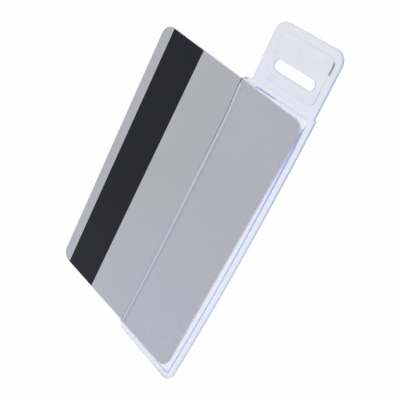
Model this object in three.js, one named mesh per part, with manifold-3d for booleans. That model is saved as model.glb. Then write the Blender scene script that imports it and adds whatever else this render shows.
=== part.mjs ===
// Vinyl badge holder: a clear half pocket welded from two flexible sheets, open on one long side,
// with a slotted tab above it, and a blank magnetic-stripe card pushed in from the open side.
//
// Sizes are millimetres. +Z is up, +Y runs along the holder towards the tab, and +X points from
// the card's free end to the pocket's closed side. The holder lies flat on its back sheet.
//
// The two sheets are laid out flat first: u is measured across from the pocket's open edge and v
// up from its bottom edge. The finished vinyl bows slightly in its own plane, and bowed() carries
// a flat point to its place on that bow.

import * as THREE from 'three';
import { mergeVertices } from 'three/addons/utils/BufferGeometryUtils.js';
import Module from 'manifold-3d';

// Card, of the common identity-card size
const CARD_WIDTH = 53.98;
const CARD_LENGTH = 85.6;
const CARD_THICKNESS = 0.76;
const CARD_CORNER = 3.18;

// Magnetic stripe, pressed flush into the card's face
const STRIPE_WIDTH = 12.6;
const STRIPE_FROM_EDGE = 3.5;
const STRIPE_THICKNESS = 0.05;
const SEAT_CUT_PAST = 1;

// Vinyl sheets
const SHEET_THICKNESS = 0.45;
const FOOT_WELD = 1.85;
const SIDE_WELD = 1.65;

// Pocket, open at u = 0
const POCKET_WIDTH = 25.15;
const POCKET_TAPER = 0.55;
const MOUTH_FOOT_CORNER = 1.8;
const MOUTH_HEAD_CORNER = 1.5;
const OUTER_FOOT_CORNER = 3.0;
const OUTER_HEAD_CORNER = 0.2;
const POCKET_CORNER = 1.0;
const PAST_MOUTH = 4;
const WALL_RUN = 0.15;

// Play of the card in the pocket, where it is least
const PLAY_AT_SIDE = 0.25;
const PLAY_AT_FOOT = 0.3;
const PLAY_AT_HEAD = 0.1;
const PLAY_ABOVE = 0.04;

// Hanging tab and its slot
const SHOULDER_MARGIN = 0.9;
const TAB_WIDTH = 21.35;
const TAB_HEIGHT = 17.25;
const TAB_INSET = 2.7;
const TAB_CORNER = 3.2;
const TAB_ROOT_CORNER = 0.8;
const STEP_ROOT_CORNER = 0.15;
const SLOT_WIDTH = 13.5;
const SLOT_HEIGHT = 3.0;
const SLOT_BELOW_TOP = 10.4;

// Bow of the vinyl in its own plane
const BOW_RADIUS = 1240;
const BOW_LEVEL = 32.35;

// Fineness of the mesh
const EDGE_STEP = 5;
const ARC_SAG = 0.004;
const LEAST_ARC_STEPS = 2;
const WALL_STEPS = 4;
const SAME_POINT = 0.001;

// Places that follow from the sizes above
const creaseSide = POCKET_WIDTH - SIDE_WELD;
const creaseFoot = FOOT_WELD;
const cardFoot = creaseFoot + WALL_RUN + PLAY_AT_FOOT;
const cardHead = cardFoot + CARD_LENGTH;
const creaseHead = cardHead + PLAY_AT_HEAD + WALL_RUN;
const shoulder = creaseHead + SHOULDER_MARGIN;
const tabTop = shoulder + TAB_HEIGHT;
const tabMiddle = TAB_INSET + TAB_WIDTH / 2;
const cardTopLevel = SHEET_THICKNESS + CARD_THICKNESS;
const pocketRoof = cardTopLevel + PLAY_ABOVE;

// Vinyl and card materials
const clearVinyl = () => new THREE.MeshStandardMaterial({
  color: 0xdfe2f4,
  roughness: 0.12,
  metalness: 0,
  transparent: true,
  opacity: 0.35,
});
const greyPlastic = new THREE.MeshStandardMaterial({ color: 0xb1b1b8, roughness: 0.45, metalness: 0 });
const darkStripe = new THREE.MeshStandardMaterial({ color: 0x2d2f36, roughness: 0.4, metalness: 0 });

// A flat point on the bowed sheet: the level BOW_LEVEL stays put, and the levels above and below
// it turn about a far centre on the open side.
function bowed(u, v) {
  const turn = (v - BOW_LEVEL) / BOW_RADIUS;
  const reach = BOW_RADIUS + u;
  return new THREE.Vector2(
    reach * Math.cos(turn) - BOW_RADIUS,
    BOW_LEVEL + reach * Math.sin(turn),
  );
}

const unbowed = (u, v) => new THREE.Vector2(u, v);

// The card's straight long edge is closest to the weld just below its upper corner, because the
// weld bows and tapers towards the card there.
const tightLevel = cardHead - CARD_CORNER;
const creaseThere = bowed(creaseSide - POCKET_TAPER * (tightLevel / shoulder), tightLevel).x;
const cardRight = creaseThere - WALL_RUN - PLAY_AT_SIDE;
const cardLeft = cardRight - CARD_WIDTH;

// A closed outline with rounded corners. Each corner is [u, v, radius], and no arc takes more
// than half of a side. An arc is divided so that its chords stand in from it by ARC_SAG at most,
// and straight stretches are divided so that they can follow the bow.
function outline(corners, place) {
  const flat = [];
  const count = corners.length;
  for (let i = 0; i < count; i += 1) {
    const [u, v, radius] = corners[i];
    const before = corners[(i + count - 1) % count];
    const after = corners[(i + 1) % count];
    const corner = new THREE.Vector2(u, v);
    const back = new THREE.Vector2(before[0], before[1]).sub(corner).normalize();
    const ahead = new THREE.Vector2(after[0], after[1]).sub(corner).normalize();
    const halfAngle = Math.acos(back.dot(ahead)) / 2;
    const shortSide = Math.min(
      Math.hypot(before[0] - u, before[1] - v),
      Math.hypot(after[0] - u, after[1] - v),
    );
    const reach = Math.min(radius / Math.tan(halfAngle), shortSide / 2);
    const arcRadius = reach * Math.tan(halfAngle);
    const centre = back.clone().add(ahead).normalize()
      .multiplyScalar(arcRadius / Math.sin(halfAngle))
      .add(corner);
    const start = corner.clone().addScaledVector(back, reach).sub(centre);
    const left = back.cross(ahead) < 0 ? 1 : -1;
    const sweep = left * (Math.PI - 2 * halfAngle);
    const arcStep = Math.sqrt((8 * ARC_SAG) / arcRadius);
    const steps = Math.max(LEAST_ARC_STEPS, Math.ceil(Math.abs(sweep) / arcStep));
    for (let k = 0; k <= steps; k += 1) {
      flat.push(start.clone().rotateAround(new THREE.Vector2(), (sweep * k) / steps).add(centre));
    }
  }
  const placed = [];
  flat.forEach((point, i) => {
    const next = flat[(i + 1) % flat.length];
    const length = point.distanceTo(next);
    const pieces = length < SAME_POINT ? 0 : Math.ceil(length / EDGE_STEP);
    for (let k = 0; k < pieces; k += 1) {
      const between = point.clone().lerp(next, k / pieces);
      placed.push(place(between.x, between.y));
    }
  });
  return placed;
}

// The cut edge of both sheets, pocket and tab in one
function sheetShape() {
  const outerHead = POCKET_WIDTH - POCKET_TAPER;
  const tabRight = TAB_INSET + TAB_WIDTH;
  const shape = new THREE.Shape(outline([
    [0, 0, MOUTH_FOOT_CORNER],
    [POCKET_WIDTH, 0, OUTER_FOOT_CORNER],
    [outerHead, shoulder, OUTER_HEAD_CORNER],
    [tabRight, shoulder, STEP_ROOT_CORNER],
    [tabRight, tabTop, TAB_CORNER],
    [TAB_INSET, tabTop, TAB_CORNER],
    [TAB_INSET, shoulder, TAB_ROOT_CORNER],
    [0, shoulder, MOUTH_HEAD_CORNER],
  ], bowed));
  const slotLeft = tabMiddle - SLOT_WIDTH / 2;
  const slotRight = tabMiddle + SLOT_WIDTH / 2;
  const slotMiddle = tabTop - SLOT_BELOW_TOP;
  const slotFoot = slotMiddle - SLOT_HEIGHT / 2;
  const slotHead = slotMiddle + SLOT_HEIGHT / 2;
  const slotRound = SLOT_HEIGHT / 2;
  shape.holes.push(new THREE.Path(outline([
    [slotLeft, slotFoot, slotRound],
    [slotRight, slotFoot, slotRound],
    [slotRight, slotHead, slotRound],
    [slotLeft, slotHead, slotRound],
  ], bowed)));
  return shape;
}

// The pocket's inside at the weld's crease, or its outside where wall is the sheet's thickness.
// It runs past the open edge, so that the pocket stays open there.
function pocketShape(wall) {
  const past = -PAST_MOUTH;
  const corner = POCKET_CORNER + wall;
  return new THREE.Shape(outline([
    [past, creaseFoot - wall, corner],
    [creaseSide + wall, creaseFoot - wall, corner],
    [creaseSide - POCKET_TAPER + wall, creaseHead + wall, corner],
    [past, creaseHead + wall, corner],
  ], bowed));
}

// A straight slab of a shape between two levels
function slab(shape, low, high) {
  const geometry = new THREE.ExtrudeGeometry(shape, { depth: high - low, bevelEnabled: false });
  return geometry.translate(0, 0, low);
}

// A mound of a shape: it stands on the level foot, and its walls lean in by WALL_RUN as they curve
// up to the level top. The part below the foot is cut off where it is used.
function mound(shape, foot, top) {
  const rise = top - foot;
  const geometry = new THREE.ExtrudeGeometry(shape, {
    depth: rise,
    bevelThickness: rise,
    bevelSize: WALL_RUN,
    bevelOffset: -WALL_RUN,
    bevelSegments: WALL_STEPS,
  });
  return geometry.translate(0, 0, foot - rise);
}

// Solids for the boolean steps, and back
const wasm = await Module();
wasm.setup();

function solid(geometry) {
  const bare = geometry.clone();
  bare.deleteAttribute('normal');
  bare.deleteAttribute('uv');
  const merged = mergeVertices(bare);
  return new wasm.Manifold(new wasm.Mesh({
    numProp: 3,
    vertProperties: new Float32Array(merged.attributes.position.array),
    triVerts: new Uint32Array(merged.index.array),
  }));
}

function geometryOf(manifold) {
  const mesh = manifold.getMesh();
  const geometry = new THREE.BufferGeometry();
  geometry.setAttribute('position', new THREE.BufferAttribute(mesh.vertProperties, 3));
  geometry.setIndex(new THREE.BufferAttribute(mesh.triVerts, 1));
  geometry.computeVertexNormals();
  return geometry;
}

function piece(name, geometry, material) {
  const mesh = new THREE.Mesh(geometry, material);
  mesh.name = name;
  return mesh;
}

// Back sheet: flat vinyl, all of its underside on the table
function backSheet() {
  return piece('back_sheet', geometryOf(solid(slab(sheetShape(), 0, SHEET_THICKNESS))), clearVinyl());
}

// Front sheet: flat at the weld and on the tab, and raised over the card by a formed wall
function frontSheet() {
  const cut = solid(slab(sheetShape(), SHEET_THICKNESS, pocketRoof + 2 * SHEET_THICKNESS));
  const flat = solid(slab(sheetShape(), SHEET_THICKNESS, 2 * SHEET_THICKNESS));
  const outside = solid(mound(
    pocketShape(SHEET_THICKNESS),
    2 * SHEET_THICKNESS,
    pocketRoof + SHEET_THICKNESS,
  ));
  const inside = solid(mound(pocketShape(0), SHEET_THICKNESS, pocketRoof));
  const formed = flat.add(outside.intersect(cut)).subtract(inside);
  return piece('front_sheet', geometryOf(formed), clearVinyl());
}

// Card: a blank plastic card in the pocket, on the back sheet, with a shallow seat for its stripe
const stripeLeft = cardLeft + STRIPE_FROM_EDGE;
const stripeFloor = cardTopLevel - STRIPE_THICKNESS;

function stripeShape(past) {
  const shape = new THREE.Shape();
  shape.moveTo(stripeLeft, cardFoot - past);
  shape.lineTo(stripeLeft + STRIPE_WIDTH, cardFoot - past);
  shape.lineTo(stripeLeft + STRIPE_WIDTH, cardHead + past);
  shape.lineTo(stripeLeft, cardHead + past);
  shape.closePath();
  return shape;
}

function card() {
  const blank = solid(slab(new THREE.Shape(outline([
    [cardLeft, cardFoot, CARD_CORNER],
    [cardRight, cardFoot, CARD_CORNER],
    [cardRight, cardHead, CARD_CORNER],
    [cardLeft, cardHead, CARD_CORNER],
  ], unbowed)), SHEET_THICKNESS, cardTopLevel));
  const seat = solid(slab(stripeShape(SEAT_CUT_PAST), stripeFloor, cardTopLevel + SEAT_CUT_PAST));
  return piece('card', geometryOf(blank.subtract(seat)), greyPlastic);
}

// Magnetic stripe: a thin dark tape, as long as the card and flush with its face
function magneticStripe() {
  return piece('magnetic_stripe', slab(stripeShape(0), stripeFloor, cardTopLevel), darkStripe);
}

// The whole, centred over the middle of its own box and standing on z = 0
const holder = new THREE.Group();
holder.add(backSheet(), frontSheet(), card(), magneticStripe());
const box = new THREE.Box3().setFromObject(holder);
const middle = box.getCenter(new THREE.Vector3());
holder.position.set(-middle.x, -middle.y, -box.min.z);
holder.updateMatrixWorld(true);

export default holder;
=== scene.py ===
"""Clear vinyl badge holder with a blank magnetic-stripe card in its half pocket, lying on a pale floor.

Lengths are worked out in millimetres and put into the meshes in metres. The flat vinyl is laid out
in u, across from the pocket's open edge, and v, up from its bottom edge.
"""

import math

import bpy
import numpy as np
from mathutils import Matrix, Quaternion, Vector


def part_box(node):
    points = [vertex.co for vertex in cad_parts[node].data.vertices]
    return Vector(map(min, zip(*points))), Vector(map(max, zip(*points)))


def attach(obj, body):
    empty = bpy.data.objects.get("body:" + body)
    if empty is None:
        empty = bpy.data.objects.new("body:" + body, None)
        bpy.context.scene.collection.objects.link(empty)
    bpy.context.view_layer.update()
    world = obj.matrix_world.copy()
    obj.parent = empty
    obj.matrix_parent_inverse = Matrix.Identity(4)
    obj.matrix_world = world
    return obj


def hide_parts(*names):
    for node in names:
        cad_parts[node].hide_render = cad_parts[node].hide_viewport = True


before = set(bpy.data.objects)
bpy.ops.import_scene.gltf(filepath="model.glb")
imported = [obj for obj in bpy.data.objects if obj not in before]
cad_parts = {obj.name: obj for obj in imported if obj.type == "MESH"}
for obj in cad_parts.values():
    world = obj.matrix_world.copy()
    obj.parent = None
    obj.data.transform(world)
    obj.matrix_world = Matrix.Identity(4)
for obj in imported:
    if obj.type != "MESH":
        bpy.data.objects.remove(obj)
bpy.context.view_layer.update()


# Camera
# It looks down on the lying holder from the side of its slotted tab, turned so that the tab points to
# the upper right of the picture, as the photograph has it. Places are in millimetres from the card's
# free lower corner, on its striped face.
MM = 0.001
CAMERA_PLACE = (128.72, 131.27, 149.87)
CAMERA_AIM = (37.38, 50.42, 0.0)
CAMERA_ROLL = -96.57
CAMERA_LENS = 62.16

card_low, card_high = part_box("card")


def from_card(point):
    """A place on the card's face in metres: the free lower corner plus the point in millimetres."""
    return Vector((card_low.x, card_low.y, card_high.z)) + Vector(point) * MM


camera_data = bpy.data.cameras.new("camera")
camera_data.lens = CAMERA_LENS
camera_data.sensor_width = 36.0
camera_data.clip_start = 0.01
camera_data.clip_end = 10.0
camera = bpy.data.objects.new("camera", camera_data)
bpy.context.collection.objects.link(camera)
camera.location = from_card(CAMERA_PLACE)
gaze = from_card(CAMERA_AIM) - camera.location
camera.rotation_mode = "QUATERNION"
roll = Quaternion((0, 0, 1), math.radians(CAMERA_ROLL))
camera.rotation_quaternion = gaze.to_track_quat("-Z", "Y") @ roll
bpy.context.scene.camera = camera


# Clear vinyl
# The real holder is two sheets of flexible clear vinyl, laid together, welded with heat along the
# pocket, round the tab and round the slot, and die-cut in one stroke. The front sheet is formed up
# over the card. Light that runs inside the sheet comes out blue at its edges and creases; here that
# blue glow is painted into the vinyl's colours, as are shade and highlights along some of its lines.

# Sizes of the sheets laid flat, and the play that the pocket leaves round the card.
SHEET = 0.45
FOOT_WELD = 1.85
SIDE_WELD = 1.65
POCKET_WIDTH = 25.15
POCKET_TAPER = 0.55
MOUTH_FOOT_CORNER = 1.8
MOUTH_HEAD_CORNER = 1.35
OUTER_FOOT_CORNER = 3.0
OUTER_HEAD_CORNER = 0.2
CREASE_CORNER = 1.0
WALL_RUN = 0.15
WALL_TRIM = 0.1
PLAY_AT_SIDE = 0.25
PLAY_AT_FOOT = 0.3
PLAY_AT_HEAD = 0.1
PLAY_ABOVE = 0.04
SHOULDER_MARGIN = 0.9
TAB_WIDTH = 21.35
TAB_HEIGHT = 17.25
TAB_INSET = 2.7
TAB_CORNER = 3.2
TAB_ROOT_CORNER = 0.8
STEP_ROOT_CORNER = 0.15
SLOT_WIDTH = 13.5
SLOT_HEIGHT = 3.0
SLOT_BELOW_TOP = 10.4
BOW_RADIUS = 1240.0
BOW_LEVEL = 32.35
CARD_CORNER = 3.18

# The pocket's mouth: how far down its lip is rolled, and how its line sways, from one level to another.
LIP_WIDTH = 1.2
LIP_DROP = 0.28
MOUTH_SWAYS = ((12.0, 48.0, -0.22), (56.0, 78.0, 0.38), (79.0, 85.5, -0.30))

card_length = (card_high.y - card_low.y) / MM
card_top = card_high.z / MM
card_foot = FOOT_WELD + WALL_RUN + PLAY_AT_FOOT
card_head = card_foot + card_length
crease_foot = FOOT_WELD
crease_head = card_head + PLAY_AT_HEAD + WALL_RUN
shoulder = crease_head + SHOULDER_MARGIN
tab_top = shoulder + TAB_HEIGHT
tab_right = TAB_INSET + TAB_WIDTH
slot_left = TAB_INSET + (TAB_WIDTH - SLOT_WIDTH) / 2
slot_right = slot_left + SLOT_WIDTH
slot_middle = tab_top - SLOT_BELOW_TOP
slot_round = SLOT_HEIGHT / 2
rise = card_top + PLAY_ABOVE - SHEET


def bowed(u, v):
    """Flat sheet to bowed sheet: a turn about a far centre on the open side, in step with v."""
    turn = (v - BOW_LEVEL) / BOW_RADIUS
    reach = BOW_RADIUS + u
    return reach * np.cos(turn) - BOW_RADIUS, BOW_LEVEL + reach * np.sin(turn)


def side_crease(v):
    """The weld's inner line on the closed side: the pocket's tapered edge less the weld's width."""
    return POCKET_WIDTH - SIDE_WELD - POCKET_TAPER * v / shoulder


tight_level = card_head - CARD_CORNER
card_right = bowed(side_crease(tight_level), tight_level)[0] - WALL_RUN - PLAY_AT_SIDE
flat_origin = (card_high.x / MM - card_right, card_low.y / MM - card_foot)


def arc_in(distance, radius):
    """How far a rounded corner stands in from its side, at a distance from the corner's end: the
    radius less the leg of the right triangle that has the radius as its longest side."""
    inside = np.clip(radius - distance, 0, radius)
    return radius - np.sqrt(radius**2 - inside**2)


def smooth(t):
    """An S-shaped rise from 0 to 1 with level ends: three squares less two cubes."""
    t = np.clip(t, 0, 1)
    return t * t * (3 - 2 * t)


def arc_levels(end, radius, way, count=10):
    """Levels that divide a rounded corner evenly by angle: its end, and from there in its way the
    radius times one less the cosine."""
    return end + way * radius * (1 - np.cos(np.linspace(0, np.pi / 2, count)))


# The grid's rows are close where a crease or a corner turns, and wide along the plain pocket. A
# reach is how far the close rows go below a crease and above it.
CREASE_STEP = 0.06
NEAR_STEP = 0.25
WIDE_STEP = 1.4
TAB_STEP = 0.3
FIRST_WIDE_ROW = 4
FOOT_CREASE_REACH = (0.6, 1.2)
HEAD_CREASE_REACH = (0.8, 0.9)
NEAR_HEAD_REACH = 3
TAB_START = 1
ROW_DIGITS = 4
rows = np.unique(np.round(np.concatenate([
    arc_levels(0, MOUTH_FOOT_CORNER, 1),
    arc_levels(0, OUTER_FOOT_CORNER, 1),
    np.arange(crease_foot - FOOT_CREASE_REACH[0], crease_foot + FOOT_CREASE_REACH[1], CREASE_STEP),
    [crease_foot],
    arc_levels(crease_foot, CREASE_CORNER, 1),
    np.arange(FIRST_WIDE_ROW, crease_head - NEAR_HEAD_REACH, WIDE_STEP),
    np.arange(crease_head - NEAR_HEAD_REACH, crease_head - HEAD_CREASE_REACH[0], NEAR_STEP),
    np.arange(crease_head - HEAD_CREASE_REACH[0], crease_head + HEAD_CREASE_REACH[1], CREASE_STEP),
    [crease_head],
    arc_levels(crease_head, CREASE_CORNER, -1),
    arc_levels(shoulder, MOUTH_HEAD_CORNER, -1),
    arc_levels(shoulder, OUTER_HEAD_CORNER, -1, count=5),
    arc_levels(shoulder, TAB_ROOT_CORNER, 1),
    arc_levels(shoulder, STEP_ROOT_CORNER, 1, count=5),
    np.arange(shoulder + TAB_START, tab_top, TAB_STEP),
    arc_levels(slot_middle - slot_round, slot_round, 1, count=12),
    arc_levels(slot_middle + slot_round, slot_round, -1, count=12),
    arc_levels(tab_top, TAB_CORNER, -1, count=16),
]), ROW_DIGITS))
above = rows - shoulder
on_tab = above > 0
in_slot = np.abs(rows - slot_middle) <= slot_round

# The lines that the grid's columns follow, from the mouth to the outer edge. Past its own end each
# line keeps a small gap to its neighbour.
MOUTH_GAP = 0.25
TAB_GAP = 0.2
OUTER_GAP = 0.15
CREASE_GAP = 0.35
mouth = arc_in(rows, MOUTH_FOOT_CORNER) + arc_in(-above, MOUTH_HEAD_CORNER)
for start, end, sway in MOUTH_SWAYS:
    mouth = mouth + sway * smooth((rows - start) / (end - start))
outer = POCKET_WIDTH - POCKET_TAPER * rows / shoulder
outer = outer - arc_in(rows, OUTER_FOOT_CORNER) - arc_in(-above, OUTER_HEAD_CORNER)
tab_corner_in = arc_in(tab_top - rows, TAB_CORNER)
tab_left_line = np.where(
    on_tab,
    TAB_INSET - arc_in(above, TAB_ROOT_CORNER) + tab_corner_in,
    np.maximum(TAB_INSET - TAB_ROOT_CORNER, mouth + MOUTH_GAP),
)
tab_right_line = np.where(
    on_tab,
    tab_right + arc_in(above, STEP_ROOT_CORNER) - tab_corner_in,
    np.minimum(tab_right + STEP_ROOT_CORNER, outer - OUTER_GAP),
)
mouth = np.where(on_tab, tab_left_line - TAB_GAP, mouth)
outer = np.where(on_tab, tab_right_line + OUTER_GAP, outer)
crease = side_crease(rows)
crease = crease - arc_in(np.maximum(rows - crease_foot, 0), CREASE_CORNER) * (rows >= crease_foot)
crease = crease - arc_in(np.maximum(crease_head - rows, 0), CREASE_CORNER) * (rows <= crease_head)
crease = np.minimum(crease, tab_right_line - CREASE_GAP)
half_slot = np.sqrt(np.clip(slot_round**2 - (rows - slot_middle) ** 2, 0, None))
slot_left_line = slot_left + slot_round - half_slot
slot_right_line = slot_right - slot_round + half_slot

# Between neighbouring lines: the count of columns, and the power that crowds them to the near line.
COLUMNS = ((12, 1.6), (14, 1), (20, 1), (22, 1), (12, 1), (4, 1))
lines = [mouth, tab_left_line, slot_left_line, slot_right_line, crease, tab_right_line, outer]
u_parts = [mouth[:, None]]
for near, far, (count, crowding) in zip(lines[:-1], lines[1:], COLUMNS):
    share = np.linspace(0, 1, count + 1)[1:] ** crowding
    u_parts.append(near[:, None] + (far - near)[:, None] * share)
u = np.concatenate(u_parts, axis=1)
v = np.repeat(rows[:, None], u.shape[1], axis=1)
tab_left_column, slot_left_column, slot_right_column, crease_column, tab_right_column = np.cumsum(
    [count for count, crowding in COLUMNS])[:-1]

x, y = bowed(u, v)
crease_x = bowed(crease, rows)[0][:, None]
foot_y = bowed(u, np.full_like(v, crease_foot))[1]
head_y = bowed(u, np.full_like(v, crease_head))[1]
side_run = np.maximum(crease_x - card_right, WALL_RUN)
foot_run = np.maximum(card_foot - foot_y, WALL_RUN)
head_run = np.maximum(head_y - card_head, WALL_RUN)


def raised(lead, trim):
    """The share of the full rise over the card: an S-shaped wall along each welded side, the three
    multiplied. The wall starts lead outside the crease and takes trim off its run."""
    side = smooth((crease_x - x + lead) / (side_run + lead - trim))
    foot = smooth((y - foot_y + lead) / (foot_run + lead - trim))
    head = smooth((head_y - y + lead) / (head_run + lead - trim))
    return side * foot * head


lip = np.clip(1 - (u - mouth[:, None]) / LIP_WIDTH, 0, 1)
lip_drop = LIP_DROP * (1 - np.sqrt(1 - lip**2)) * ~on_tab[:, None]
top_level = 2 * SHEET + rise * raised(SHEET, WALL_TRIM) - lip_drop
bottom_level = np.zeros_like(u)
roof_level = SHEET + rise * raised(0.0, 0.0)
floor_level = np.full_like(u, SHEET)
levels = (top_level, bottom_level, roof_level, floor_level)

# The grid has cells where there is vinyl, and open cells where the two sheets are apart.
SAME_LEVEL = 1e-4
row_open = (rows[:-1] >= crease_foot - SAME_LEVEL) & (rows[1:] <= crease_head + SAME_LEVEL)
row_tab = rows[:-1] >= shoulder - SAME_LEVEL
row_slot = in_slot[:-1] & in_slot[1:]
cells = np.ones((len(rows) - 1, u.shape[1] - 1), bool)
cells[row_tab, :tab_left_column] = False
cells[row_tab, tab_right_column:] = False
cells[row_slot, slot_left_column:slot_right_column] = False
open_cells = np.zeros_like(cells)
open_cells[row_open, :crease_column] = True


def vinyl_faces():
    """Vertex numbers of the quads that close the sheet. Every cell of the grid has a top and a
    bottom face, an open cell has a roof and a floor face too, and each rim of the cells has a wall.
    Top, bottom, roof and floor grids are numbered one after another. Where the open cells end inside
    the sheet, which is on the crease, the floor uses the roof's vertices. Along the mouth it keeps
    its own, but for the crease's two ends."""
    number = np.arange(u.size).reshape(u.shape)
    top, bottom, roof, floor = (number + k * u.size for k in range(len(levels)))
    padded = np.pad(open_cells, 1)
    around = np.stack([padded[:-1, :-1], padded[:-1, 1:], padded[1:, :-1], padded[1:, 1:]])
    on_crease = around.any(0) & ~around.all(0)
    on_crease[:, 0] = around[1, :, 0] ^ around[3, :, 0]
    floor = np.where(on_crease, roof, floor)

    def quads(grid, mask, flip):
        """The four corners of each cell in the mask, on one grid."""
        corners = np.stack([grid[:-1, :-1], grid[:-1, 1:], grid[1:, 1:], grid[1:, :-1]], -1)[mask]
        return corners[:, ::-1] if flip else corners

    def rims(upper, lower, mask):
        """A wall between two grids, on each side where a cell in the mask has no neighbour."""
        found = []
        for axis, way in ((0, -1), (0, 1), (1, -1), (1, 1)):
            neighbour = np.roll(np.pad(cells, 1), -way, axis)[1:-1, 1:-1]
            r, c = np.nonzero(mask & ~neighbour)
            if axis == 0:
                line = r + (way > 0)
                a = (line, c + (way > 0))
                b = (line, c + (way < 0))
            else:
                line = c + (way > 0)
                a = (r + (way < 0), line)
                b = (r + (way > 0), line)
            found.append(np.stack([upper[a], lower[a], lower[b], upper[b]], -1))
        return np.concatenate(found)

    return np.concatenate([
        quads(top, cells, False),
        quads(bottom, cells, True),
        quads(roof, open_cells, True),
        quads(floor, open_cells, False),
        rims(top, bottom, cells & ~open_cells),
        rims(top, roof, open_cells),
        rims(floor, bottom, open_cells),
    ])


vinyl_points = np.concatenate([
    np.stack([x + flat_origin[0], y + flat_origin[1], level], -1).reshape(-1, 3)
    for level in levels
])
vinyl_quads = vinyl_faces()

# Inside the tab's welded border the two sheets only lie together, so a film of air stays between
# them, from the border to the weld round the slot.
BORDER_LEFT = 2.3
BORDER_RIGHT = 1.95
BORDER_TOP = 2.1
BORDER_FOOT = 3.0
BORDER_CORNER = 1.9
SLOT_WELD = 1.3
FILM = 0.03
FILM_TURNS = 120
FILM_STEPS = 10
FILM_RIM = 0.25
STRAIGHTNESS = 60.0
panel_left, panel_right = TAB_INSET + BORDER_LEFT, tab_right - BORDER_RIGHT
panel_low, panel_high = crease_head + BORDER_FOOT, tab_top - BORDER_TOP


def rounded_box(half_width, half_height, corner, angle):
    """A rounded rectangle: a point that runs round its core rectangle, pushed out by corner."""
    across, along = np.cos(angle), np.sin(angle)
    core_x = np.clip(STRAIGHTNESS * across, corner - half_width, half_width - corner)
    core_y = np.clip(STRAIGHTNESS * along, corner - half_height, half_height - corner)
    return core_x + corner * across, core_y + corner * along


def air_film():
    """Two grids over the ring between the slot's weld and the tab's border: angle round the slot and
    share of the way out. They part along an S-shaped rise over a quarter of the way from each rim."""
    angle = np.linspace(0, 2 * np.pi, FILM_TURNS, endpoint=False)[:, None]
    way = np.linspace(0, 1, FILM_STEPS + 1)[None, :]
    half_width, half_height = (panel_right - panel_left) / 2, (panel_high - panel_low) / 2
    out_x, out_y = rounded_box(half_width, half_height, BORDER_CORNER, angle)
    weld_round = slot_round + SLOT_WELD
    in_x, in_y = rounded_box(SLOT_WIDTH / 2 + SLOT_WELD, weld_round, weld_round, angle)
    panel_middle = ((panel_left + panel_right) / 2, (panel_low + panel_high) / 2)
    film_u = (1 - way) * (in_x + TAB_INSET + TAB_WIDTH / 2) + way * (out_x + panel_middle[0])
    film_v = (1 - way) * (in_y + slot_middle) + way * (out_y + panel_middle[1])
    film_x, film_y = bowed(film_u, film_v)
    half = FILM / 2 * smooth(way / FILM_RIM) * smooth((1 - way) / FILM_RIM) * np.ones_like(angle)
    points = np.concatenate([
        np.stack([film_x + flat_origin[0], film_y + flat_origin[1], SHEET + lift], -1).reshape(-1, 3)
        for lift in (half, -half)
    ])
    number = np.arange(film_x.size).reshape(film_x.shape)
    under = number + number.size
    under[:, 0], under[:, -1] = number[:, 0], number[:, -1]
    faces = []
    for grid, faces_down in ((number, True), (under, False)):
        after = np.roll(grid, -1, axis=0)
        quad = np.stack([grid[:, :-1], grid[:, 1:], after[:, 1:], after[:, :-1]], -1).reshape(-1, 4)
        faces.append(quad[:, ::-1] if faces_down else quad)
    return points, np.concatenate(faces)


film_points, film_quads = air_film()
all_points = np.concatenate([vinyl_points, film_points]) * MM
all_quads = np.concatenate([vinyl_quads, film_quads + len(vinyl_points)])
used, numbers = np.unique(all_quads, return_inverse=True)
vinyl_mesh = bpy.data.meshes.new("vinyl_pocket")
vinyl_mesh.from_pydata(all_points[used].tolist(), [], numbers.reshape(all_quads.shape).tolist())
vinyl_mesh.update()
vinyl_mesh.shade_smooth()
vinyl_mesh.polygons.foreach_set("use_smooth", np.arange(len(all_quads)) < len(vinyl_quads))
vinyl = bpy.data.objects.new("vinyl_pocket", vinyl_mesh)
bpy.context.collection.objects.link(vinyl)


NO_LENGTH = 1e-12


def distance_to(line_u, line_v):
    """Distance in the flat from every grid point to a line of short straight stretches: for each
    stretch the nearest point on it, and the least of those distances."""
    least = np.full(u.shape, np.inf)
    for k in range(len(line_u) - 1):
        run_u, run_v = line_u[k + 1] - line_u[k], line_v[k + 1] - line_v[k]
        along = (u - line_u[k]) * run_u + (v - line_v[k]) * run_v
        share = np.clip(along / (run_u**2 + run_v**2 + NO_LENGTH), 0, 1)
        apart = np.hypot(u - line_u[k] - share * run_u, v - line_v[k] - share * run_v)
        least = np.minimum(least, apart)
    return least


def from_box(place_x, place_y, left, right, low, high, corner):
    """Signed distance to a rounded rectangle, negative inside it: the distance to the rectangle of
    its corners' centres, less their radius."""
    across = np.abs(place_x - (left + right) / 2) - (right - left) / 2 + corner
    along = np.abs(place_y - (low + high) / 2) - (high - low) / 2 + corner
    outside = np.hypot(np.maximum(across, 0), np.maximum(along, 0))
    return outside + np.minimum(np.maximum(across, along), 0) - corner


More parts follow.
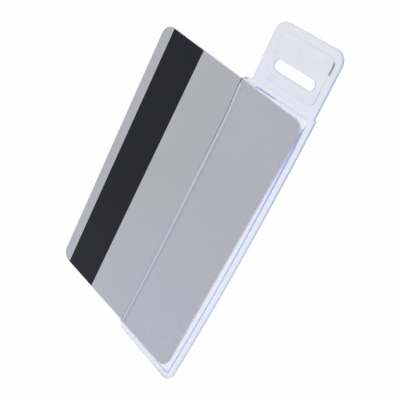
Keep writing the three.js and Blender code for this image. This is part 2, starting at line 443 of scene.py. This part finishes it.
# The distances in millimetres that the material reads: a grid of them for the sheets, and the value
# that the air film has instead.
FAR = 9.0
pocket_rows, tab_rows = rows <= shoulder, rows >= shoulder
right_side = np.concatenate([outer[pocket_rows], tab_right_line[tab_rows]])
left_side = np.concatenate([mouth[pocket_rows], tab_left_line[tab_rows]])
side_levels = np.concatenate([rows[pocket_rows], rows[tab_rows]])
cut_u = np.concatenate([right_side, left_side[::-1], right_side[:1]])
cut_v = np.concatenate([side_levels, side_levels[::-1], side_levels[:1]])
card_left = card_right - (card_high.x - card_low.x) / MM
fields = {
    "cut": (distance_to(cut_u, cut_v), FAR),
    "lip": (distance_to(mouth[pocket_rows], rows[pocket_rows]), FAR),
    "crease": (np.maximum(np.maximum(u - crease[:, None], crease_foot - v), v - crease_head), FAR),
    "side": (u - side_crease(v), FAR),
    "panel": (from_box(u, v, panel_left, panel_right, panel_low, panel_high, BORDER_CORNER), -FAR),
    "slot": (from_box(u, v, slot_left, slot_right, slot_middle - slot_round,
                      slot_middle + slot_round, slot_round), FAR),
    "card": (from_box(x, y, card_left, card_right, card_foot, card_head, CARD_CORNER), FAR),
    "across": (u, 0.0),
    "level": (v, 0.0),
}
at_points = {}
for name, (grid, in_film) in fields.items():
    in_sheets = np.tile(grid.ravel(), len(levels))
    at_points[name] = np.concatenate([in_sheets, np.full(len(film_points), in_film)])
    layer = vinyl_mesh.attributes.new(name, "FLOAT", "POINT")
    layer.data.foreach_set("value", at_points[name][used].astype(np.float32))

# The die leaves the upper and lower rims of the cut a little rounded.
SOFT_EDGE = 0.05
SAME_PLACE = 0.001
LEVEL_EDGE = 0.1
to_rim = np.minimum(at_points["cut"], at_points["slot"])
edge_ends = np.empty(len(vinyl_mesh.edges) * 2, np.int32)
vinyl_mesh.edges.foreach_get("vertices", edge_ends)
edge_ends = edge_ends.reshape(-1, 2)
on_rim = (to_rim[used][edge_ends] < SAME_PLACE).all(axis=1)
end_heights = all_points[used][edge_ends][..., 2]
runs_level = np.abs(end_heights[:, 0] - end_heights[:, 1]) < LEVEL_EDGE * MM
weights = vinyl_mesh.attributes.new("bevel_weight_edge", "FLOAT", "EDGE")
weights.data.foreach_set("value", (on_rim & runs_level).astype(np.float32))
soften = vinyl.modifiers.new("soft cut edge", "BEVEL")
soften.width = SOFT_EDGE * MM
soften.segments = 2
soften.limit_method = "WEIGHT"
soften.harden_normals = True

# The cut walls are matt, and so is a strip along the rolled lip, which carries a painted highlight
# and painted shade. The walls on the pocket's foot and open side, and on the tab's left, let light
# through. The others carry a painted blue glow for the light that leaves the sheet there.
# A face is a wall where its normal rises less than STEEP.
STEEP = 0.3
AT_RIM = 0.02
LIP_STRIP = 1.5
LIP_END = 1
ABOVE_ROOF = 0.05
GLOW_ACROSS = (17.0, 23.0)
GLOW_BELOW_TOP = 1
face_rise = np.empty(len(vinyl_mesh.polygons) * 3, np.float32)
vinyl_mesh.polygons.foreach_get("normal", face_rise)
face_rise = face_rise.reshape(-1, 3)[:, 2]
face_height = all_points[all_quads][..., 2].mean(axis=1) / MM
face_across, face_level, face_lip, face_slot = (
    at_points[name][all_quads].mean(axis=1) for name in ("across", "level", "lip", "slot"))
cut_wall = (np.abs(face_rise) < STEEP) & (to_rim[all_quads] < AT_RIM).all(axis=1)
glow_wall = (face_across > GLOW_ACROSS[0]) | (face_level > tab_top - GLOW_BELOW_TOP)
glow_wall |= face_slot < AT_RIM
lip_strip = (face_lip < LIP_STRIP) & (face_rise > STEEP)
lip_strip &= face_height > card_top + PLAY_ABOVE + ABOVE_ROOF
lip_strip &= (face_level > card_foot) & (face_level < card_head - LIP_END)
for name, chosen_faces in (("matt", cut_wall | lip_strip), ("frosted", cut_wall & ~glow_wall)):
    layer = vinyl_mesh.attributes.new(name, "FLOAT", "FACE")
    layer.data.foreach_set("value", chosen_faces.astype(np.float32))


def empty_tree(owner):
    """Turns on the nodes of a material or a world and empties their tree. The functions that follow
    all add their nodes to the tree that was emptied last."""
    global nodes, links
    owner.use_nodes = True
    nodes, links = owner.node_tree.nodes, owner.node_tree.links
    nodes.clear()


def field_of(name):
    """The output of one of the mesh's distance fields, in millimetres."""
    node = nodes.new("ShaderNodeAttribute")
    node.attribute_name = name
    return node.outputs["Fac"]


def object_place():
    """The output of the place on the object, in metres from its origin."""
    return nodes.new("ShaderNodeTexCoord").outputs["Object"]


def axis_of(vector, axis):
    """One of the three parts of a vector, X, Y or Z."""
    node = nodes.new("ShaderNodeSeparateXYZ")
    links.new(vector, node.inputs["Vector"])
    return node.outputs[axis]


def maths(operation, *values):
    """A Math node over sockets and plain numbers."""
    node = nodes.new("ShaderNodeMath")
    node.operation = operation
    for socket, value in zip(node.inputs, values):
        if isinstance(value, (int, float)):
            socket.default_value = value
        else:
            links.new(value, socket)
    return node.outputs[0]


def times(first, *others):
    """The product of sockets and plain numbers."""
    for other in others:
        first = maths("MULTIPLY", first, other)
    return first


def ramp(value, start, end):
    """An S-shaped rise from 0 at start to 1 at end: three squares less two cubes of the way."""
    node = nodes.new("ShaderNodeMapRange")
    node.interpolation_type = "SMOOTHSTEP"
    links.new(value, node.inputs["Value"])
    node.inputs["From Min"].default_value = start
    node.inputs["From Max"].default_value = end
    return node.outputs["Result"]


def fall(value, start, end):
    """An S-shaped fall from 1 at start to 0 at end: 1 less the rise."""
    return maths("SUBTRACT", 1.0, ramp(value, start, end))


def band(value, centre, half_width):
    """1 on the centre of a line, falling to 0 at half_width on both sides."""
    return fall(maths("ABSOLUTE", maths("SUBTRACT", value, centre)), 0.0, half_width)


def span(value, start, end, soft):
    """1 from start to end, fading over soft outside them: a rise times a fall."""
    return times(ramp(value, start - soft, start), fall(value, end, end + soft))


def noise(scale, detail=2.0):
    """A cloudy noise over the object, with about scale clouds to a metre, from 0 to 1."""
    node = nodes.new("ShaderNodeTexNoise")
    node.inputs["Scale"].default_value = scale
    node.inputs["Detail"].default_value = detail
    links.new(object_place(), node.inputs["Vector"])
    return node.outputs["Fac"]


def tinted(colour, share, tint):
    """A colour moved by a share towards a tint: what the share leaves of it, plus that of the tint."""
    node = nodes.new("ShaderNodeMix")
    node.data_type = "RGBA"
    for socket, value in ((node.inputs["A"], colour), (node.inputs["B"], tint)):
        if isinstance(value, tuple):
            socket.default_value = (*value, 1)
        else:
            links.new(value, socket)
    links.new(share, node.inputs["Factor"])
    return node.outputs["Result"]


def bumped(height, depth, strength=1.0):
    """The normal of a surface that stands depth millimetres higher where height is 1."""
    node = nodes.new("ShaderNodeBump")
    node.inputs["Distance"].default_value = depth * MM
    node.inputs["Strength"].default_value = strength
    links.new(height, node.inputs["Height"])
    return node.outputs["Normal"]


def principled(colour, values):
    """A Principled BSDF node in a colour, with values for its other inputs by their names."""
    node = nodes.new("ShaderNodeBsdfPrincipled")
    links.new(colour, node.inputs["Base Color"])
    for name, value in values.items():
        node.inputs[name].default_value = value
    return node


def chosen(share, first, second):
    """A Mix Shader node's output: the first shader at 0, the second at 1."""
    node = nodes.new("ShaderNodeMixShader")
    links.new(share, node.inputs["Fac"])
    links.new(first, node.inputs[1])
    links.new(second, node.inputs[2])
    return node.outputs["Shader"]


# In what follows, two numbers for a line are its centre and half its width, and any other two are
# where a change starts and ends. Three are a start, an end, and how far it fades outside them. Levels
# are counted from the pocket's foot, and places across from its open side.
UPPER_FACE = (0.5, 0.8)
SLOT_SIDES = (slot_middle - 0.9, slot_middle + 0.9)
SLOT_LEFT_END = (slot_left + 0.3, slot_left + 1.5)


def upper_face():
    """1 on the vinyl's upper face, 0 on its underside and in the pocket's floor."""
    return ramp(axis_of(object_place(), "Z"), UPPER_FACE[0] * MM, UPPER_FACE[1] * MM)


def slot_low_left():
    """1 on the slot's lower side and its left end, 0 on its upper side."""
    low_side = fall(field_of("level"), *SLOT_SIDES)
    return maths("MAXIMUM", low_side, fall(field_of("across"), *SLOT_LEFT_END))


OVER_CARD = (1.0, 1.0, 1.0)
OVER_GAP = (0.952, 0.960, 1.0)
WELDED = (0.845, 0.856, 0.938)
WELDED_TAB_FOOT = (0.805, 0.813, 0.895)
WELDED_TAB = (0.795, 0.792, 0.840)
PANEL_FOOT = (0.894, 0.899, 0.946)
PANEL = (0.897, 0.894, 0.918)
MOTTLE = (0.70, 0.72, 0.84)
MOTTLE_SCALE = 330.0
MOTTLE_DETAIL = 1.0
MOTTLE_CLOUDS = (0.45, 0.75)
MOTTLE_SHARE = 0.08
CARD_EDGE = (-0.1, 0.15)
CREASE_EDGE = (-0.2, 0.1)
PANEL_EDGE = (-0.15, 0.05)
SLOT_WELD_EDGE = (SLOT_WELD - 0.1, SLOT_WELD + 0.1)
OFF_CARD = (0.1, 0.6)
TAB_FOOT_LEVELS = (shoulder - 1.0, shoulder + 0.5)
TAB_LEVELS = (91.0, 101.0)


def ground_colour():
    """The vinyl's colour between its lines: clear over the card, faint blue over the gap round it and
    where it is welded, paler over the tab's film of air, and a little mottled beside the card."""
    card_way, level = field_of("card"), field_of("level")
    up_tab = ramp(level, *TAB_LEVELS)
    colour = tinted(OVER_CARD, ramp(card_way, *CARD_EDGE), OVER_GAP)
    welded = tinted(WELDED, ramp(level, *TAB_FOOT_LEVELS), WELDED_TAB_FOOT)
    welded = tinted(welded, up_tab, WELDED_TAB)
    colour = tinted(colour, ramp(field_of("crease"), *CREASE_EDGE), welded)
    in_film = times(fall(field_of("panel"), *PANEL_EDGE), ramp(field_of("slot"), *SLOT_WELD_EDGE))
    colour = tinted(colour, in_film, tinted(PANEL_FOOT, up_tab, PANEL))
    mottle = times(ramp(noise(MOTTLE_SCALE, MOTTLE_DETAIL), *MOTTLE_CLOUDS), ramp(card_way, *OFF_CARD))
    return tinted(colour, times(mottle, MOTTLE_SHARE), MOTTLE)


CREASE_GLOW = (0.28, 0.48, 1.0)
CREASE_PALE_GLOW = (0.55, 0.66, 0.97)
CREASE_LINE_ABOVE = (-0.1, 0.24)
CREASE_LINE_BELOW = (-0.4, 0.27)
CREASE_LEVELS = (0.8, 85.8, 0.8)
EDGE_GLOW = (0.42, 0.52, 0.86)
EDGE_PALE_GLOW = (0.66, 0.75, 0.96)
AT_EDGE = (0.03, 0.2)
AT_EDGE_SHARE = 0.5
OFF_LIP = (0.5, 1.5)
BESIDE_EDGE = (0.25, 0.35)
BESIDE_EDGE_SHARE = 0.65
NEAR_HEAD = (45.0, 80.0)


def with_painted_edge_glow(colour):
    """A colour with a painted blue glow for the light that runs inside the sheet: along the crease,
    on the upper face and under it, and along the cut edges of the closed side, deeper towards the head."""
    level, side_way, cut_way = field_of("level"), field_of("side"), field_of("cut")
    near_head = ramp(level, *NEAR_HEAD)
    on_top = upper_face()
    below = maths("SUBTRACT", 1.0, on_top)
    crease_glow = tinted(CREASE_PALE_GLOW, near_head, CREASE_GLOW)
    # Painted blue glow along the crease, above and below.
    for line, face in ((CREASE_LINE_ABOVE, on_top), (CREASE_LINE_BELOW, below)):
        crease_line = times(band(side_way, *line), span(level, *CREASE_LEVELS), face)
        colour = tinted(colour, crease_line, crease_glow)
    closed_side = ramp(field_of("across"), *GLOW_ACROSS)
    # Painted blue glow at and beside the cut edges of the closed side.
    at_edge = times(fall(cut_way, *AT_EDGE), ramp(field_of("lip"), *OFF_LIP), closed_side, AT_EDGE_SHARE)
    colour = tinted(colour, at_edge, tinted(EDGE_PALE_GLOW, near_head, EDGE_GLOW))
    beside_edge = times(band(cut_way, *BESIDE_EDGE), closed_side, BESIDE_EDGE_SHARE)
    return tinted(colour, beside_edge, EDGE_PALE_GLOW)


LINE_BLUE = (0.60, 0.64, 0.88)
GREY_LINE = (0.62, 0.62, 0.72)
ARC_REFLECTION_DARK = (0.03, 0.03, 0.05)
STRETCH_BLUE = (0.30, 0.36, 0.68)
BORDER_LINE = (0.0, 0.22)
BORDER_SHARE = 0.22
MORE_ON_RIGHT = 0.4
RIGHT_BORDER = (20.2, 21.4)
GREY_LEVELS = (tab_top - BORDER_TOP - 0.9, tab_top - BORDER_TOP - 0.2)
GREY_SHARE = 0.45
ARC_REFLECTION_LINE = (0.1, 0.52)
ARC_REFLECTION_LEVELS = (100.4, 103.0, 0.7)
STRETCH_LEVELS = (92.6, 95.6, 1.0)


def with_border_lines(colour):
    """A colour with the line where the tab's welded border starts: blue and stronger on the right,
    grey along the top, a painted dark reflection in an arc at the upper right corner and a deep blue
    stretch further down."""
    level, panel_way = field_of("level"), field_of("panel")
    on_right = ramp(field_of("across"), *RIGHT_BORDER)
    on_top = upper_face()
    line = times(band(panel_way, *BORDER_LINE), on_top)
    blue_share = maths("ADD", times(on_right, MORE_ON_RIGHT), BORDER_SHARE)
    colour = tinted(colour, times(line, blue_share), LINE_BLUE)
    colour = tinted(colour, times(line, ramp(level, *GREY_LEVELS), GREY_SHARE), GREY_LINE)
    # Painted dark reflection in an arc at the border's upper right corner.
    arc = times(band(panel_way, *ARC_REFLECTION_LINE), span(level, *ARC_REFLECTION_LEVELS), on_right, on_top)
    colour = tinted(colour, arc, ARC_REFLECTION_DARK)
    return tinted(colour, times(line, span(level, *STRETCH_LEVELS), on_right), STRETCH_BLUE)


# Each of the slot's rings has its distance from the slot and its strength. They fade where the sum of
# the place across and the level passes from the first number of RINGS_END to the second.
SLOT_EDGE_GLOW = (0.70, 0.78, 0.97)
SLOT_SHADE = (0.68, 0.72, 0.86)
SLOT_SHADE_REACH = (0.1, 0.9)
SLOT_EDGE_SHARE = 0.4
SLOT_RINGS = ((SLOT_WELD, 0.12), (SLOT_WELD + 0.75, 0.08), (SLOT_WELD + 1.5, 0.06))
RING_HALF_WIDTH = 0.25
RINGS_END = (104.0, 112.0)


def with_slot_lines(colour):
    """A colour with the slot's weld: faint rings on its lower left, painted shade beside the slot's
    lower side and left end, and a painted pale blue glow at its cut edge."""
    slot_way = field_of("slot")
    on_top = upper_face()
    low_left = fall(maths("ADD", field_of("across"), field_of("level")), *RINGS_END)
    for offset, strength in SLOT_RINGS:
        ring = times(band(slot_way, offset, RING_HALF_WIDTH), on_top, strength, low_left)
        colour = tinted(colour, ring, LINE_BLUE)
    shade = times(fall(slot_way, *SLOT_SHADE_REACH), on_top, slot_low_left())
    colour = tinted(colour, shade, SLOT_SHADE)
    # Painted pale blue glow at the slot's cut edge.
    return tinted(colour, times(fall(slot_way, *AT_EDGE), SLOT_EDGE_SHARE), SLOT_EDGE_GLOW)


# Each faint line has its distance above the head's crease, its ends across and its strength.
ROOT_SHADE_PALE = (0.60, 0.70, 0.93)
ROOT_SHADE_HOOK = (0.25, 0.27, 0.42)
ROOT_SHADE_LINE = (0.2, 0.5)
ROOT_SHADE_LEVELS = (60.0, 84.0)
POCKET_END = (shoulder - 0.1, shoulder + 0.1)
LIP_SHADE = (0.880, 0.893, 0.915)
LIP_SHADE_LINE = (1.7, 0.6)
LIP_SHADE_END = (66.0, 78.0)
HEAD_CREASE_SHADE = (0.17, 0.20, 0.45)
HEAD_SHADE_LINE = (0.1, 0.27)
HEAD_SHADE_ENDS = (5.4, 11.2, 1.2)
FAINT_BLUE = (0.45, 0.49, 0.80)
FAINT_LINES = ((-0.1, 13.0, 20.8, 0.6), (0.33, 14.0, 21.9, 1.0),
               (1.5, 4.0, 20.0, 0.25), (2.1, 5.0, 19.0, 0.2))
FAINT_HALF_WIDTH = 0.2
FAINT_FADE = 1.5


def with_pocket_lines(colour):
    """A colour with painted shade at the root of the mouth's lip, the lip's painted shade beside it,
    painted shade along the head's crease and the faint lines beside that."""
    lip_way, across, level = field_of("lip"), field_of("across"), field_of("level")
    on_top = upper_face()
    # Painted shade at the lip's root, darkest and hooked round the corner near the head.
    root_shade_line = times(band(lip_way, *ROOT_SHADE_LINE), fall(level, *POCKET_END), on_top)
    colour = tinted(colour, root_shade_line, tinted(ROOT_SHADE_PALE, ramp(level, *ROOT_SHADE_LEVELS), ROOT_SHADE_HOOK))
    lip_shade = times(band(lip_way, *LIP_SHADE_LINE), fall(level, *LIP_SHADE_END), on_top)
    colour = tinted(colour, lip_shade, LIP_SHADE)
    head_way = maths("SUBTRACT", level, crease_head)
    # Painted shade along the head's crease.
    head_shade = times(band(head_way, *HEAD_SHADE_LINE), span(across, *HEAD_SHADE_ENDS))
    colour = tinted(colour, head_shade, HEAD_CREASE_SHADE)
    for offset, start, end, strength in FAINT_LINES:
        faint = band(head_way, offset, FAINT_HALF_WIDTH)
        faint = times(faint, span(across, start, end, FAINT_FADE), on_top, strength)
        colour = tinted(colour, faint, FAINT_BLUE)
    return colour


CUT_GLOW = (0.54, 0.60, 0.87)
CUT_PALE_GLOW = (0.62, 0.73, 0.98)
CUT_WHITE = (0.97, 0.97, 1.0)
CUT_TOP_SHADE = (0.58, 0.58, 0.70)
CUT_TOP_SHADE_LEVELS = (tab_top - 0.6, tab_top - 0.2)
CUT_SLOT_GLOW = (0.72, 0.82, 1.0)
OFF_SLOT = (0.3, 0.6)
# The lip's strip: the grey of the card seen through it, a painted highlight and painted shade at its
# root.
LIP_GREY = (0.455, 0.450, 0.508)
LIP_HIGHLIGHT_BLUE = (0.535, 0.583, 0.725)
LIP_HIGHLIGHT_WHITE = (0.635, 0.635, 0.705)
LIP_HIGHLIGHT_LINE = (0.95, 0.42)
LIP_HIGHLIGHT_LEVELS = (15.0, 60.0)
LIP_ROOT_SHADE = (0.36, 0.395, 0.54)
LIP_ROOT_DEEP_SHADE = (0.11, 0.12, 0.19)
LIP_ROOT_SHADE_BAND = (0.33, 0.55)
LIP_ROOT_SHADE_LEVELS = (55.0, 82.0)
LIP_NARROWS = 0.25
LIP_NARROWS_LEVELS = (60.0, 80.0)
LIP_REACH = (-1.0, 2.0, 0.2)
LIP_LEVELS = (1.0, 88.0, 0.5)


def cut_edge_colour():
    """The matt surface's colour. The cut edge carries a painted blue glow on the closed side, deeper
    towards the head, and is nearly white on the open side, with painted shade along the tab's top. The
    lip's strip has a painted highlight along it and painted shade at its root, which both come nearer
    to the mouth towards the head."""
    level = field_of("level")
    # Painted blue glow on the cut walls of the closed side and round the slot.
    deep = tinted(CUT_PALE_GLOW, ramp(level, *NEAR_HEAD), CUT_GLOW)
    colour = tinted(CUT_WHITE, ramp(field_of("across"), *GLOW_ACROSS), deep)
    slot_colour = tinted(CUT_WHITE, slot_low_left(), CUT_SLOT_GLOW)
    colour = tinted(slot_colour, ramp(field_of("slot"), *OFF_SLOT), colour)
    # Painted shade on the cut wall along the tab's top.
    colour = tinted(colour, ramp(level, *CUT_TOP_SHADE_LEVELS), CUT_TOP_SHADE)
    lip_way = maths("ADD", field_of("lip"), times(ramp(level, *LIP_NARROWS_LEVELS), LIP_NARROWS))
    # Painted highlight along the lip, and painted shade at its root, darkest towards the head.
    painted_highlight = tinted(LIP_HIGHLIGHT_BLUE, ramp(level, *LIP_HIGHLIGHT_LEVELS), LIP_HIGHLIGHT_WHITE)
    root = tinted(LIP_ROOT_SHADE, ramp(level, *LIP_ROOT_SHADE_LEVELS), LIP_ROOT_DEEP_SHADE)
    lip_colour = tinted(LIP_GREY, band(lip_way, *LIP_HIGHLIGHT_LINE), painted_highlight)
    lip_colour = tinted(lip_colour, band(lip_way, *LIP_ROOT_SHADE_BAND), root)
    return tinted(colour, times(span(lip_way, *LIP_REACH), span(level, *LIP_LEVELS)), lip_colour)


# Each groove has the distance it is pressed beside, its centre, half its width and its depth.
RIPPLE_SCALE = 260.0
RIPPLE_HEIGHT = 0.01
GROOVES = (("panel", 0.0, 0.35, 0.012), ("slot", SLOT_WELD, 0.4, 0.006))


def weld_relief():
    """The normal of the rolled sheet's fine ripples, less the grooves that the welding tool presses
    round the tab's panel and the slot."""
    relief = times(noise(RIPPLE_SCALE), RIPPLE_HEIGHT)
    for name, centre, half_width, depth in GROOVES:
        relief = maths("SUBTRACT", relief, times(band(field_of(name), centre, half_width), depth))
    return bumped(relief, depth=1.0)


VINYL_IOR = 1.53
CLEAR_ROUGHNESS = 0.03
MATT_ROUGHNESS = 0.5
FROSTED_SHARE = 0.6
LAMP_LIGHT = (0.98, 0.98, 0.99)
VINYL_TINT = (0.5, 0.55, 0.98)
TINT_DENSITY = 40.0
vinyl_material = bpy.data.materials.new("clear vinyl")
empty_tree(vinyl_material)
vinyl_colour = ground_colour()
for add_lines in (with_painted_edge_glow, with_border_lines, with_slot_lines, with_pocket_lines):
    vinyl_colour = add_lines(vinyl_colour)
clear_skin = principled(
    vinyl_colour, {"Roughness": CLEAR_ROUGHNESS, "IOR": VINYL_IOR, "Transmission Weight": 1.0})
links.new(weld_relief(), clear_skin.inputs["Normal"])
cut_skin = principled(cut_edge_colour(), {"Roughness": MATT_ROUGHNESS, "IOR": VINYL_IOR})
see_through = nodes.new("ShaderNodeBsdfTranslucent")
see_through.inputs["Color"].default_value = (*CUT_WHITE, 1)
light_through = times(field_of("frosted"), FROSTED_SHARE)
cut_surface = chosen(light_through, cut_skin.outputs["BSDF"], see_through.outputs["BSDF"])
surface = chosen(field_of("matt"), clear_skin.outputs["BSDF"], cut_surface)

# To shadow rays, and to the rays that matt surfaces send out, the vinyl is only a thin pale filter.
lamp_light = nodes.new("ShaderNodeBsdfTransparent")
lamp_light.inputs["Color"].default_value = (*LAMP_LIGHT, 1)
ray = nodes.new("ShaderNodeLightPath")
from_matt = maths("MAXIMUM", ray.outputs["Is Shadow Ray"], ray.outputs["Is Diffuse Ray"])
tint = nodes.new("ShaderNodeVolumeAbsorption")
tint.inputs["Color"].default_value = (*VINYL_TINT, 1)
tint.inputs["Density"].default_value = TINT_DENSITY
output = nodes.new("ShaderNodeOutputMaterial")
links.new(chosen(from_matt, surface, lamp_light.outputs["BSDF"]), output.inputs["Surface"])
links.new(tint.outputs["Volume"], output.inputs["Volume"])
vinyl_mesh.materials.append(vinyl_material)
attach(vinyl, "root")
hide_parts("front_sheet", "back_sheet")


# Card
# A blank identity card of rigid plastic, stamped from a printed sheet and left grey. Its face has the
# faint grain of the press plate.
CARD_GREY = (0.448, 0.448, 0.502)
CARD_GREY_LOW = (0.476, 0.486, 0.548)
CARD_CORE = (0.86, 0.86, 0.88)
DRIFT_SCALE = 40.0
DRIFT_DARK = 0.97
DRIFT_LIGHT = 1.03
GRAIN_DETAIL = 3.0
GRAIN_STRENGTH = 0.5
UPRIGHT = 0.7

# The second colour comes in between these two places, in metres up the holder from its middle.
LOW_END = (0.0, -0.055)


def satin_plastic(name, colours, roughness, gloss, grain_size, grain_depth):
    """Plastic with a fine grain in its bump, a slow drift in its colour, a second colour towards its
    foot, and a third on its sides, where the face's normal is far from upright."""
    colour, low_colour, side_colour = colours
    material = bpy.data.materials.new(name)
    empty_tree(material)
    dark, light = (tuple(part * c for c in colour) for part in (DRIFT_DARK, DRIFT_LIGHT))
    tone = tinted(dark, noise(DRIFT_SCALE), light)
    tone = tinted(tone, ramp(axis_of(object_place(), "Y"), *LOW_END), low_colour)
    normal = nodes.new("ShaderNodeNewGeometry").outputs["True Normal"]
    is_face = maths("GREATER_THAN", maths("ABSOLUTE", axis_of(normal, "Z")), UPRIGHT)
    tone = tinted(side_colour, is_face, tone)
    shader = principled(tone, {"Roughness": roughness, "Specular IOR Level": gloss})
    grain = noise(1 / (grain_size * MM), GRAIN_DETAIL)
    links.new(bumped(grain, grain_depth, GRAIN_STRENGTH), shader.inputs["Normal"])
    output = nodes.new("ShaderNodeOutputMaterial")
    links.new(shader.outputs["BSDF"], output.inputs["Surface"])
    return material


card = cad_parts["card"]
card.data.materials.clear()
card.data.materials.append(satin_plastic(
    "grey card plastic", (CARD_GREY, CARD_GREY_LOW, CARD_CORE),
    roughness=0.5, gloss=0.3, grain_size=0.25, grain_depth=0.01))


# Magnetic stripe
# A thin dark tape of polyester film with a magnetic coating. It is hot-pressed flush into the card's
# face, along the card's free long edge.
TAPE = (0.0178, 0.0174, 0.0262)
TAPE_LOW = (0.0235, 0.0230, 0.0325)
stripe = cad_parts["magnetic_stripe"]
stripe.data.materials.clear()
stripe.data.materials.append(satin_plastic(
    "magnetic tape", (TAPE, TAPE_LOW, TAPE),
    roughness=0.55, gloss=0.1, grain_size=0.1, grain_depth=0.004))


# Floor and light
# The floor is a sheet of matt white board that the holder lies on, and it looks evenly white, also
# through the vinyl. The light comes from a pale dome, brightest overhead, and from two soft lamps.
FLOOR_SIZE = 4.0
FLOOR_GAP = 0.02
FLOOR_WHITE = (0.97, 0.97, 0.97)
FLOOR_GLOW = 0.9
floor_mesh = bpy.data.meshes.new("floor")
half = FLOOR_SIZE / 2
floor_mesh.from_pydata([(-half, -half, 0), (half, -half, 0), (half, half, 0), (-half, half, 0)], [],
                       [(0, 1, 2, 3)])
floor = bpy.data.objects.new("floor", floor_mesh)
bpy.context.collection.objects.link(floor)
floor.location.z = -FLOOR_GAP * MM
floor_material = bpy.data.materials.new("white floor")
empty_tree(floor_material)
board = nodes.new("ShaderNodeBsdfDiffuse")
board.inputs["Color"].default_value = (*FLOOR_WHITE, 1)
glow = nodes.new("ShaderNodeEmission")
glow.inputs["Color"].default_value = (1, 1, 1, 1)
ray = nodes.new("ShaderNodeLightPath")
seen = maths("MAXIMUM", ray.outputs["Is Camera Ray"], ray.outputs["Is Transmission Ray"])
seen = maths("MAXIMUM", seen, ray.outputs["Is Glossy Ray"])
output = nodes.new("ShaderNodeOutputMaterial")
floor_surface = chosen(times(seen, FLOOR_GLOW), board.outputs["BSDF"], glow.outputs["Emission"])
links.new(floor_surface, output.inputs["Surface"])
floor_mesh.materials.append(floor_material)

DOME = {"From Min": 0.0, "From Max": 0.9, "To Min": 0.4, "To Max": 1.08}
world = bpy.data.worlds.new("studio")
bpy.context.scene.world = world
empty_tree(world)
dome = nodes.new("ShaderNodeMapRange")
for name, value in DOME.items():
    dome.inputs[name].default_value = value
links.new(axis_of(nodes.new("ShaderNodeTexCoord").outputs["Generated"], "Z"), dome.inputs["Value"])
fill = nodes.new("ShaderNodeBackground")
links.new(dome.outputs["Result"], fill.inputs["Strength"])
white = nodes.new("ShaderNodeBackground")
white.inputs["Color"].default_value = (1, 1, 1, 1)
ray = nodes.new("ShaderNodeLightPath")
backdrop = chosen(ray.outputs["Is Camera Ray"], fill.outputs["Background"], white.outputs["Background"])
output = nodes.new("ShaderNodeOutputWorld")
links.new(backdrop, output.inputs["Surface"])


def soft_lamp(name, place, size, watts):
    """A rectangular lamp of a width and a height that faces the holder, with its width level."""
    data = bpy.data.lights.new(name, "AREA")
    data.shape = "RECTANGLE"
    data.size, data.size_y = size
    data.energy = watts
    lamp = bpy.data.objects.new(name, data)
    bpy.context.collection.objects.link(lamp)
    lamp.location = place
    lamp.rotation_mode = "QUATERNION"
    lamp.rotation_quaternion = (-Vector(place)).to_track_quat("-Z", "Y")
    lamp.visible_glossy = False


soft_lamp("lamp on the stripe's side", place=(-0.50, -0.26, 0.30), size=(0.6, 0.22), watts=1.3)
soft_lamp("lamp over the tab", place=(0.1, 0.45, 0.45), size=(0.3, 0.3), watts=0.6)

bpy.context.scene.view_settings.view_transform = "Standard"
bpy.context.scene.cycles.max_bounces = 48
bpy.context.scene.cycles.glossy_bounces = 40
bpy.context.scene.cycles.transmission_bounces = 40
bpy.context.scene.cycles.transparent_max_bounces = 24
bpy.context.scene.cycles.caustics_reflective = False
